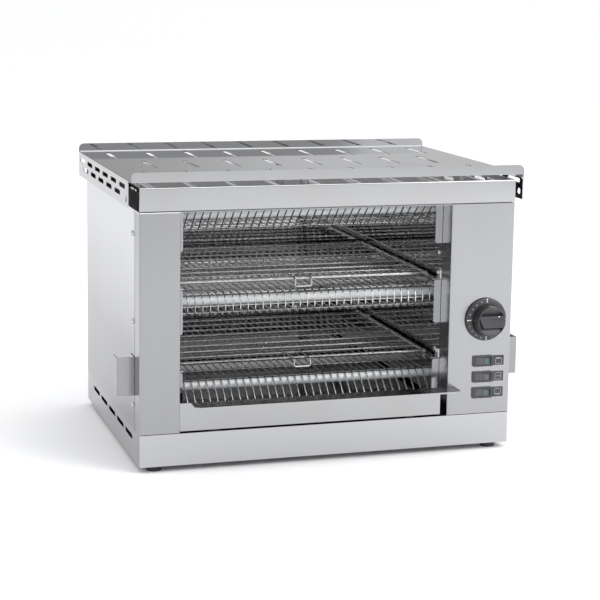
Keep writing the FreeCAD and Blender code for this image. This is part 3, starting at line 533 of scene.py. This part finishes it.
guide_steel = mirror_steel("guide_steel", 0.62, 0.08, rolled_back)
rack_wire = plated("rack_wire", (0.42, 0.42, 0.41), (0.64, 0.64, 0.63), 0.18)
dull_wire = plated("dull_wire", (0.42, 0.41, 0.4), (0.62, 0.61, 0.6), 0.24)
dress("left_rack_guides", guide_steel)
dress("right_rack_guides", guide_steel)
rack_left, rack_right, rack_front, rack_step = -0.188, 0.152, front + 0.064, 0.258 / 8
wire_radius, end_radius, side_radius, pull_radius = 0.0015, 0.0023, 0.0025, 0.0011
pull_left, pull_right, pull_front = -0.035, -0.013, rack_front - 0.018
pull_rear, pull_drop, pull_rise, pull_bend = rack_front + rack_step + 0.0022, 0.008, 0.002, 0.003
for name, z in (("lower_rack", 0.1236), ("upper_rack", 0.2301)):
    wire(name + "_wires", [(rack_left, rack_front + rack_step, z),
                           (rack_right, rack_front + rack_step, z)],
         name, wire_radius, rack_wire, 7, (0, rack_step, 0), name)
    wire(name + "_end_rods", [(rack_left, rack_front, z), (rack_right, rack_front, z)],
         name, end_radius, rack_wire, 2, (0, 8 * rack_step, 0))
    wire(name + "_side_rods", [(rack_left, rack_front - side_radius, z),
                               (rack_left, rack_front + 0.2605, z)],
         name, side_radius, rack_wire, 2, (rack_right - rack_left, 0, 0))
    high, low = z + pull_rise, z - pull_drop
    hairpin = [(pull_left, pull_rear, high), (pull_left, pull_front, high),
               (pull_left, pull_front, low), (pull_right, pull_front, low),
               (pull_right, pull_front, high), (pull_right, pull_rear, high)]
    wire(name + "_pull_loop", rounded(hairpin, pull_bend), name, pull_radius, dull_wire,
         1, (0, 0, 0))


# The crumb tray: a shallow pan of bright sheet that slides on two strips, with an upright front
# and a polished lip whose outer edge is hemmed and whose corners are rounded.

tray_steel = mirror_steel("tray_steel", 0.4, 0.1, along_x)
dress("crumb_tray", tray_steel)
dress("crumb_runners", galvanised)


# The timer: a charcoal moulded knob with a dished skirt, a round wall darkened as painted shade,
# and a straight grip between two scooped hollows, cut away at its left end. White marks are
# printed round the skirt, and a dark line points from the grip. The spindle runs into the
# clockwork behind.

def shaped(name, shape, body, material, slot, *stands_for, smooth=False):
    """Turns finished mesh work into a piece; the slot argument is not used."""
    made = piece(name, mesh_of(name, shape), body, material, *stands_for, smooth=smooth)
    return made


knob_black = moulded("knob_black", (0.03, 0.031, 0.033), (0.048, 0.049, 0.052), 0.42,
                     grain=3200.0, depth=0.00005)
wall_shade_black = moulded("wall_shade_black", (0.008, 0.008, 0.009), (0.014, 0.014, 0.015), 0.3,
                     grain=3200.0, depth=0.00005)
white_print = moulded("white_print", (0.72, 0.72, 0.7), (0.84, 0.84, 0.82), 0.5)
knob_centre = Vector((0.213, front, 0.1768))
dress("timer_shaft", screw_zinc)
dress("timer_body", ceramic)
skirt = [(0.0, 0.0006), (0.0278, 0.0006), (0.0284, 0.0012), (0.0285, 0.0026), (0.0281, 0.0036),
         (0.0272, 0.0042), (0.0235, 0.0049), (0.0216, 0.0051), (0.021, 0.0056)]
round_wall = [(0.0207, 0.0075), (0.0200, 0.0208), (0.0196, 0.0218), (0.0188, 0.0224),
              (0.0180, 0.0226), (0.0180, 0.0176), (0.0, 0.0176)]
shape = bmesh.new()
turned(shape, knob_centre, (0, -1, 0), skirt + round_wall, 96)
bar_half, face_height = 0.008, 0.0226
scoop_radius, scoop_depth, scoop_curve = 0.01802, 0.0045, 1.15
rows, scoop_width = 14, scoop_radius - 0.0003 - bar_half
for way in (-1, 1):
    strips = []
    for number in range(rows + 1):
        level = bar_half + scoop_width * number / rows
        share = 1 - (level - bar_half) / (scoop_radius - bar_half)
        reach = math.sqrt(scoop_radius ** 2 - level ** 2)
        height = face_height - scoop_depth * share ** scoop_curve
        strips.append([shape.verts.new(knob_centre + Vector((side * reach, -height, way * level)))
                       for side in (-1, 1)])
    for (a, b), (c, d) in zip(strips, strips[1:]):
        shape.faces.new((a, b, d, c))
bar_reach, bar_top, bar_foot, arc_steps = 0.0179, 0.0227, 0.0170, 6
edge = math.asin(bar_half / bar_reach)
arc = [(bar_reach * math.cos(edge * n / arc_steps), bar_reach * math.sin(edge * n / arc_steps))
       for n in range(-arc_steps, arc_steps + 1)]
outline = [(-0.016, bar_half), (-0.0172, 0.0045), (-0.0112, -bar_half)] + arc
top = [shape.verts.new(knob_centre + Vector((x, -bar_top, z))) for x, z in outline]
foot = [shape.verts.new(knob_centre + Vector((x, -bar_foot, z))) for x, z in outline]
shape.faces.new(top)
shape.faces.new(foot[::-1])
for number in range(len(outline)):
    shape.faces.new((top[number - 1], top[number], foot[number], foot[number - 1]))
knob = shaped("timer_knob_cap", shape, "timer_knob", knob_black, "black_plastic", "timer_knob",
              smooth=True)
# The round wall takes the darker black as painted shade.
knob.data.materials.append(wall_shade_black)
wall_inside, wall_foot, wall_top = 0.0195, 0.0052, 0.0219
for face in knob.data.polygons:
    out = face.center - knob_centre
    if math.hypot(out.x, out.z) > wall_inside and wall_foot < -out.y < wall_top:
        face.material_index = 1

shape = bmesh.new()
short_mark, mark_foot, mark_top, mark_turn = (0.0243, 0.0253, 0.0005), 0.0038, 0.0052, 18
long_marks = {0: [(0.0231, 0.0248, 0.0009), (0.0260, 0.0276, 0.0009)],
              5: [(0.0240, 0.0276, 0.0007)],
              10: [(0.0215, 0.0236, 0.0010), (0.0244, 0.0270, 0.0006)],
              15: [(0.0218, 0.0276, 0.0007)]}
for number in range(5, 21):
    angle = math.radians(mark_turn * number)
    turn = Matrix.Translation(knob_centre) @ Matrix.Rotation(angle, 4, "Y")
    for inner, outer, wide in long_marks.get(number % 20, [short_mark]):
        slab(shape, (-wide, -mark_top, inner), (wide, -mark_foot, outer), turn)
slab(shape, knob_centre + Vector((0.0088, -0.02285, 0.0062)),
     knob_centre + Vector((0.0106, -0.0222, 0.0076)))
shaped("timer_knob_marks", shape, "timer_knob", white_print, "black_plastic")
shape = bmesh.new()
slab(shape, knob_centre + Vector((-0.007, -0.02275, 0.0028)),
     knob_centre + Vector((0.0135, -0.0222, 0.0038)))
shaped("timer_knob_pointer", shape, "timer_knob", recess_black, "black_plastic")


# The rocker switches: three snap-in switches, each with a rocker that carries a small lens,
# beside dark plates printed with plain square signs for the heater levels.

switch_black = moulded("switch_black", (0.035, 0.036, 0.038), (0.055, 0.056, 0.058), 0.38)
rocker_black = moulded("rocker_black", (0.06, 0.061, 0.063), (0.085, 0.086, 0.088), 0.3)
green = moulded("green", (0.03, 0.11, 0.08), (0.06, 0.19, 0.145), 0.24, coat=0.3)
grey = moulded("grey", (0.08, 0.085, 0.09), (0.12, 0.125, 0.13), 0.24, coat=0.3)
sign_print = moulded("sign_print", (0.24, 0.25, 0.26), (0.32, 0.33, 0.34), 0.5)
left, right, sign_half, line, bar = 0.2286, 0.2382, 0.0048, 0.0007, 0.0026
plate_face = front - 0.0012
sign_back, sign_face = plate_face + 0.0001, plate_face - 0.00012
for word, z in (("top", 0.1205), ("middle", 0.0991), ("bottom", 0.0777)):
    dress(word + "_switch_housing", switch_black)
    dress(word + "_rocker", rocker_black)
    dress(word + "_rocker_lens", grey if word == "middle" else green)
    low, high = z - sign_half, z + sign_half
    heater = {"top": (high - bar, high), "middle": (z - line / 2, z + line / 2),
              "bottom": (low, low + bar)}
    shape = bmesh.new()
    for x0, x1, z0, z1 in ((left, right, low, low + line), (left, right, high - line, high),
                           (left, left + line, low, high), (right - line, right, low, high),
                           (left, right, *heater[word])):
        slab(shape, (x0, sign_face, z0), (x1, sign_back, z1))
    shaped(word + "_switch_sign", shape, "casing", sign_print, "legend_plastic")
dress("rocker_pins", screw_zinc)
dress("legend_plates", switch_black)


# The side grips: short folded channels of the panels' own sheet, screwed behind the seams,
# with the hand's side open to the back.

grip_steel = sheet_steel("grip_steel", 0.31, 0.24, upright)
dress("left_side_grip", grip_steel)
dress("right_side_grip", grip_steel)


# The top: a galvanised roof, a folded deck whose front edge is the band over the opening, and on
# posts above it the slotted tray, with flanges turned up front and rear and punched side rails.
# Fitted tones of painted light: brighter where tray and deck face each other than on their
# outsides, with a thin painted highlight along the top of the deck's band.

deck_mirror = mirror_steel("deck_mirror", 0.78, 0.03, along_x)
# Painted shade on the deck's front band, all but a thin painted highlight at its top edge.
deck_band_shade = 0.3598, 0.3599
shaded(deck_mirror, "Z", *deck_band_shade, at_low=0.53, at_high=1.0)
tray_top = mirror_steel("tray_top", 0.78, 0.03, along_x)
tray_middle, tray_end, tray_end_inside = (0.36755, 0.36765), (0.26, 0.2601), (0.2599, 0.26)
# Painted shade on the tray's upper face, flanges and outer rails; the underside keeps the full
# tone as painted light.
shaded(tray_top, "Z", *tray_middle, at_low=1.0, at_high=0.54)
shaded(tray_top, "X", *tray_end, at_low=1.0, at_high=0.56)

# The faint glow of the tray's underside stands for light thrown to and fro in the narrow gap.
gap_glow = tray_top.node_tree.nodes["Principled BSDF"].inputs["Emission Strength"]
gap_glow.default_value = 0.085
shaded(tray_top, "Z", *tray_middle, at_low=1.0, at_high=0.0, target="Emission Color")
shaded(tray_top, "X", *tray_end_inside, at_low=1.0, at_high=0.0, target="Emission Color")
dress("roof_panel", galvanised)
dress("deck_supports", galvanised)
dress("top_deck", deck_mirror)
dress("tray_spacers", screw_zinc)
dress("top_tray", tray_top)
bend_radius, bend_steps, bend_end, sunk, tray_face = 0.002, 8, 0.2602, 0.0003, 0.3683
for word, wall, side in (("rear", 0.1847, -1), ("front", -0.1802, 1)):
    shape = bmesh.new()
    rings = []
    for x in (-bend_end, bend_end):
        ring = [shape.verts.new((x, wall - side * sunk, tray_face - sunk))]
        for step in range(bend_steps + 1):
            angle = math.radians(90 * step / bend_steps)
            ring.append(shape.verts.new((x, wall + side * bend_radius * (1 - math.sin(angle)),
                                         tray_face + bend_radius * (1 - math.cos(angle)))))
        rings.append(ring)
    first, last = rings
    for number in range(len(first)):
        shape.faces.new((first[number - 1], first[number], last[number], last[number - 1]))
    shape.faces.new(first)
    shape.faces.new(last[::-1])
    shaped(word + "_flange_bend", shape, "casing", tray_top, "brushed_casing_steel", smooth=True)


# The supply: a black threaded gland in the back panel, left empty, and behind it on the plinth
# a ceramic terminal block.

dress("cable_gland", knob_black)
dress("terminal_block", ceramic)


# The room: a wide pale floor, and a sky that is bright overhead and in a low ring, lighter on the
# left, with dim walls behind and before the part and a bright low screen before it on the right.
# Three soft lights and the camera.

floor_reach = 60
floor_mesh = bpy.data.meshes.new("floor")
floor_mesh.from_pydata([(x * floor_reach, y * floor_reach, 0)
                        for x, y in ((-1, -1), (1, -1), (1, 1), (-1, 1))], [], [(0, 1, 2, 3)])
floor = bpy.data.objects.new("floor", floor_mesh)
bpy.context.scene.collection.objects.link(floor)
floor_paint, nodes, links, shader, place = finish("floor_paint")
floor_cloud = speckle(nodes, links, place, 3.0)
links.new(spread(nodes, links, floor_cloud, 0.95, 0.97), shader.inputs["Base Color"])
shader.inputs["Roughness"].default_value = 0.7
floor_mesh.materials.append(floor_paint)

world = bpy.data.worlds.new("studio")
bpy.context.scene.world = world
world.use_nodes = True
nodes, links = world.node_tree.nodes, world.node_tree.links
sky = nodes["Background"]
sky.inputs["Color"].default_value = (0.985, 0.99, 1.0, 1.0)
split = nodes.new("ShaderNodeSeparateXYZ")
links.new(nodes.new("ShaderNodeTexCoord").outputs["Generated"], split.inputs["Vector"])


def lit(axis, low, high, at_low, at_high):
    """Light that goes smoothly from one level to another as the direction turns along an axis."""
    return ranged(nodes, links, split.outputs[axis], low, high, at_low, at_high, "SMOOTHSTEP")


def joined(operation, first, *others):
    """The sum or the product of several lights."""
    for other in others:
        node = nodes.new("ShaderNodeMath")
        node.operation = operation
        links.new(first, node.inputs[0])
        links.new(other, node.inputs[1])
        first = node.outputs["Value"]
    return first


low_ring = lit("Z", 0.0, 0.05, 0.55, 0.0)
high_light = lit("Z", 0.3, 0.85, 0.0, 0.86)
left_light = lit("X", -0.4, -0.85, 0.0, 0.3)
back_wall = joined("MULTIPLY", lit("X", 0.16, 0.33, 0.42, 0.66), lit("Y", -0.25, 0.25, 0.0, 1.0))
front_wall = lit("Y", -0.25, 0.25, 0.44, 0.0)
right_screen = joined("MULTIPLY", lit("X", 0.315, 0.335, 0.3, 1.02),
                      lit("Z", 0.14, 0.2, 1.0, 0.0), lit("Y", -0.25, 0.25, 1.0, 0.0))
links.new(joined("ADD", back_wall, front_wall, right_screen, low_ring, left_light, high_light),
          sky.inputs["Strength"])

aim = Vector((0, 0, 0.15))
for name, spot, size, power in (("left_softbox", (-2.6, -1.2, 1.6), 2.2, 5.0),
                                ("right_softbox", (1.9, -2.2, 1.9), 1.4, 44.0),
                                ("top_softbox", (0.6, -0.6, 2.8), 2.0, 16.0)):
    lamp = bpy.data.lights.new(name, "AREA")
    lamp.size, lamp.energy = size, power
    light = bpy.data.objects.new(name, lamp)
    light.location = spot
    light.rotation_euler = (aim - Vector(spot)).to_track_quat("-Z", "Y").to_euler()
    bpy.context.scene.collection.objects.link(light)

picture_width, focal_pixels = 600, 1674.7
yaw, pitch, roll, eye_place = 0.30225, 0.15581, 0.01479, (-0.66524, -2.17264, 0.6182)
eye = bpy.data.cameras.new("camera")
eye.sensor_width, eye.lens, eye.shift_y = 36.0, focal_pixels / picture_width * 36.0, -0.1
camera = bpy.data.objects.new("camera", eye)
bpy.context.scene.collection.objects.link(camera)
ahead = Vector((math.sin(yaw) * math.cos(pitch), math.cos(yaw) * math.cos(pitch),
                -math.sin(pitch)))
level_way = Vector((math.cos(yaw), -math.sin(yaw), 0))
steep_way = level_way.cross(ahead)
right_way = level_way * math.cos(roll) + steep_way * math.sin(roll)
up_way = steep_way * math.cos(roll) - level_way * math.sin(roll)
turn = Matrix((right_way, up_way, -ahead)).transposed().to_4x4()
camera.matrix_world = Matrix.Translation(eye_place) @ turn
eye.clip_start, eye.clip_end = 0.05, 50.0
bpy.context.scene.camera = camera
bpy.context.scene.view_settings.view_transform = "Standard"
